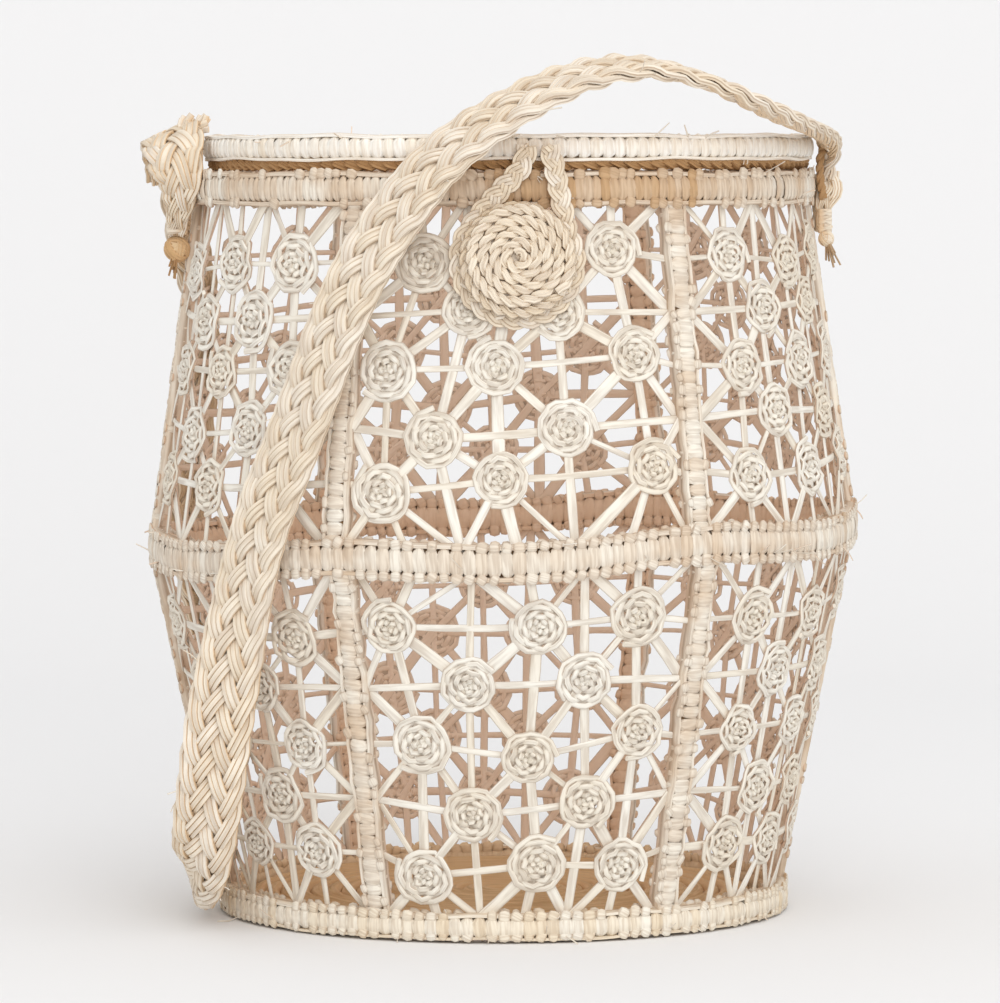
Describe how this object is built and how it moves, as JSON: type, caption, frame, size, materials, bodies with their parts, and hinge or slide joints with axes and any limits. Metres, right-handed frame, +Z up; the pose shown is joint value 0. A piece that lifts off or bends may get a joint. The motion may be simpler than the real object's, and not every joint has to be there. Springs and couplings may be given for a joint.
{
  "type": "basket bag",
  "caption": "Openwork palm-straw barrel basket bag with wrapped rings and ribs, rosette lattice panels, a hinged lid, a spiral button with a cord loop, and a long flat braided strap.",
  "frame": {"origin": "middle of the basket's underside, on the surface that it stands on", "axes": "+Z up; the button and the front are on -Y, the lid's hinge is at +Y, and +X is to the right as seen from the front"},
  "size_m": [0.2813, 0.2906, 0.3353],
  "materials": {
    "wrapped_straw": "matt wrapped palm straw",
    "openwork_straw": "matt flat palm straw",
    "braided_straw": "matt braided palm straw",
    "coiled_straw": "matt coiled palm straw"
  },
  "bodies": {
    "basket": {"base_disc": "coiled_straw", "base_ring": "wrapped_straw", "waist_ring": "wrapped_straw", "rim_ring": "wrapped_straw", "lower_panel_1": "openwork_straw", "lower_panel_2": "openwork_straw", "lower_panel_3": "openwork_straw", "lower_panel_4": "openwork_straw", "lower_panel_5": "openwork_straw", "lower_panel_6": "openwork_straw", "lower_rib_1": "wrapped_straw", "lower_rib_2": "wrapped_straw", "lower_rib_3": "wrapped_straw", "lower_rib_4": "wrapped_straw", "lower_rib_5": "wrapped_straw", "lower_rib_6": "wrapped_straw", "upper_panel_1": "openwork_straw", "upper_panel_2": "openwork_straw", "upper_panel_3": "openwork_straw", "upper_panel_4": "openwork_straw", "upper_panel_5": "openwork_straw", "upper_panel_6": "openwork_straw", "upper_rib_1": "wrapped_straw", "upper_rib_2": "wrapped_straw", "upper_rib_3": "wrapped_straw", "upper_rib_4": "wrapped_straw", "upper_rib_5": "wrapped_straw", "upper_rib_6": "wrapped_straw", "button_shank": "braided_straw", "button_disc": "braided_straw", "strap_ear_left": "braided_straw", "strap_ear_right": "braided_straw", "strap_knot_left": "braided_straw", "strap_knot_right": "braided_straw", "strap": "braided_straw", "hinge_lashing_left": "braided_straw", "hinge_lashing_right": "braided_straw"},
    "lid": {"lid_ring": "wrapped_straw", "lid_panel": "openwork_straw"},
    "closure_loop": {"closure_loop": "braided_straw"}
  },
  "joints": [
    {"name": "lid_hinge", "type": "hinge", "parent": "basket", "child": "lid", "pos_m": [0, 0.123, 0.2914], "axis": [-1, 0, 0], "range_deg": [0, 110], "deforming": ["hinge_lashing_left", "hinge_lashing_right", "closure_loop"]},
    {"name": "loop_swing", "type": "hinge", "parent": "lid", "child": "closure_loop", "pos_m": [0.009, -0.1233, 0.2973], "axis": [-1, 0, 0], "range_deg": [0, 60]}
  ]
}
